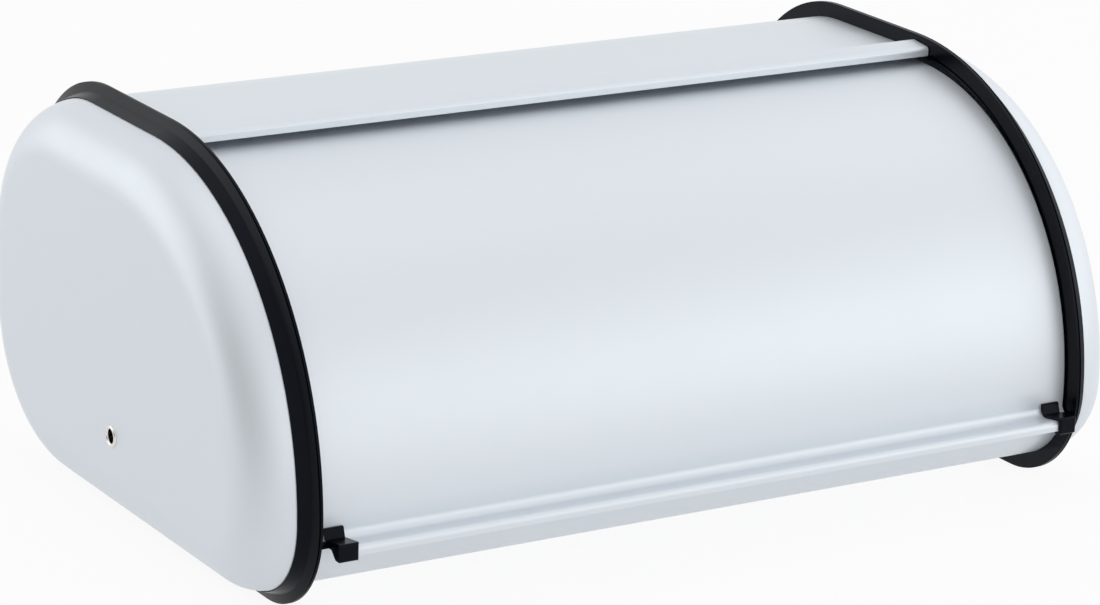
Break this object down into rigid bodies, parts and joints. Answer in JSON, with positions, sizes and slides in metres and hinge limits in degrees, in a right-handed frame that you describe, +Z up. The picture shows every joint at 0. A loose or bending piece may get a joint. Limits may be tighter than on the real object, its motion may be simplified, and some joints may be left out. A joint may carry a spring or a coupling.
{
  "type": "bread_box",
  "caption": "White roll-top steel bread box with dished end caps, dark plastic trim rings and a curved lid that swings up under the top.",
  "frame": {"origin": "on the table, under the middle of the bounding box of the closed box", "axes": "+X along the box to its right end seen from the front, +Y from the front to the back, +Z up"},
  "size_m": [0.4346, 0.2774, 0.179],
  "materials": {
    "white_paint": "smooth satin-gloss white paint",
    "black_plastic": "blue-black satin moulding",
    "nickel": "bright nickel plate",
    "plain_steel": "plain zinc-grey steel",
    "nylon": "natural nylon"
  },
  "bodies": {
    "case": {"body_shell": "white_paint", "left_trim_ring": "black_plastic", "left_end_cap": "white_paint", "left_pivot_rivet": "nickel", "left_pivot_bush": "nylon", "left_pivot_washer": "plain_steel", "right_trim_ring": "black_plastic", "right_end_cap": "white_paint", "right_pivot_rivet": "nickel", "right_pivot_bush": "nylon", "right_pivot_washer": "plain_steel"},
    "lid": {"lid_panel": "white_paint", "left_lid_arm": "white_paint", "left_lid_clip": "black_plastic", "right_lid_arm": "white_paint", "right_lid_clip": "black_plastic"}
  },
  "joints": [
    {"name": "lid_hinge", "type": "hinge", "parent": "case", "child": "lid", "pos_m": [0, 0.00087, 0.04588], "axis": [-1, 0, 0], "range_deg": [0, 86]}
  ]
}
